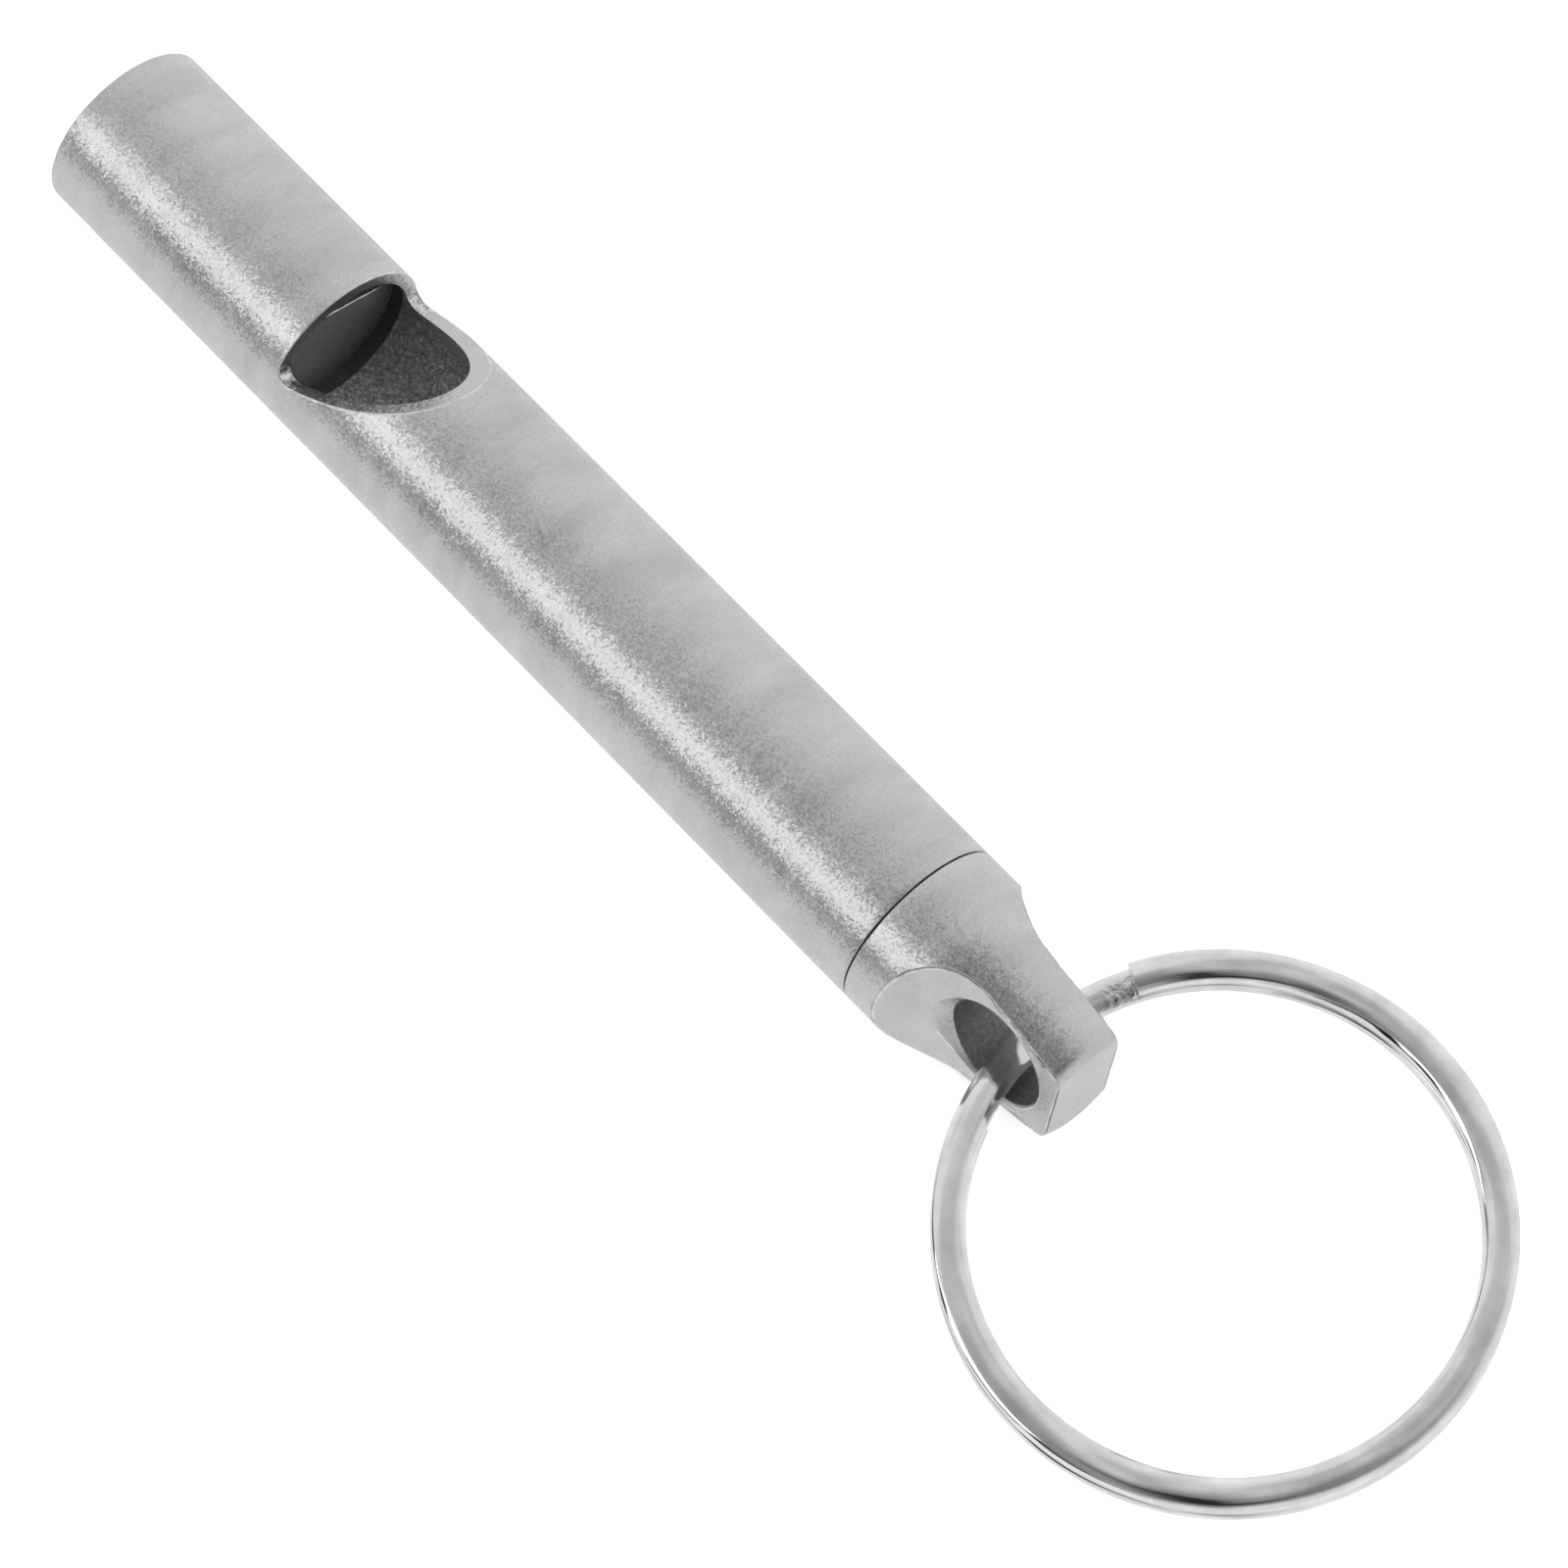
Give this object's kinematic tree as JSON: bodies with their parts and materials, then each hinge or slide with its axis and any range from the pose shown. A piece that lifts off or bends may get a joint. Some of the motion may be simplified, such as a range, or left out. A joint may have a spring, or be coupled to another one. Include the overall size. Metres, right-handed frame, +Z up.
{
  "type": "pocket whistle",
  "caption": "Slim one-note titanium tube whistle with a D-shaped windway, a ramped sounding window and a tanged end cap that carries a split key ring.",
  "frame": {"origin": "centre of the mouth end, on the tube's axis", "axes": "+X along the tube's axis from the mouth to the cap, +Z up from the flat surface that the whistle lies on, which touches the tube from below; +Y is the side that the window leans to"},
  "size_m": [0.0779, 0.0232, 0.008],
  "materials": {
    "blasted_titanium": "bead-blasted titanium, satin grey with a fine sparkle",
    "plug_titanium": "machined titanium, dark grey and matt",
    "nickel_steel": "bright nickel plate on spring steel"
  },
  "bodies": {
    "whistle": {"whistle_tube": "blasted_titanium", "fipple_plug": "plug_titanium", "end_cap": "blasted_titanium"},
    "ring": {"split_ring": "nickel_steel"}
  },
  "joints": [
    {"name": "ring_swing", "type": "hinge", "parent": "whistle", "child": "ring", "pos_m": [0.0555, 0, 0], "axis": [0, 0.9744, -0.225], "range_deg": [-150, 150]}
  ]
}
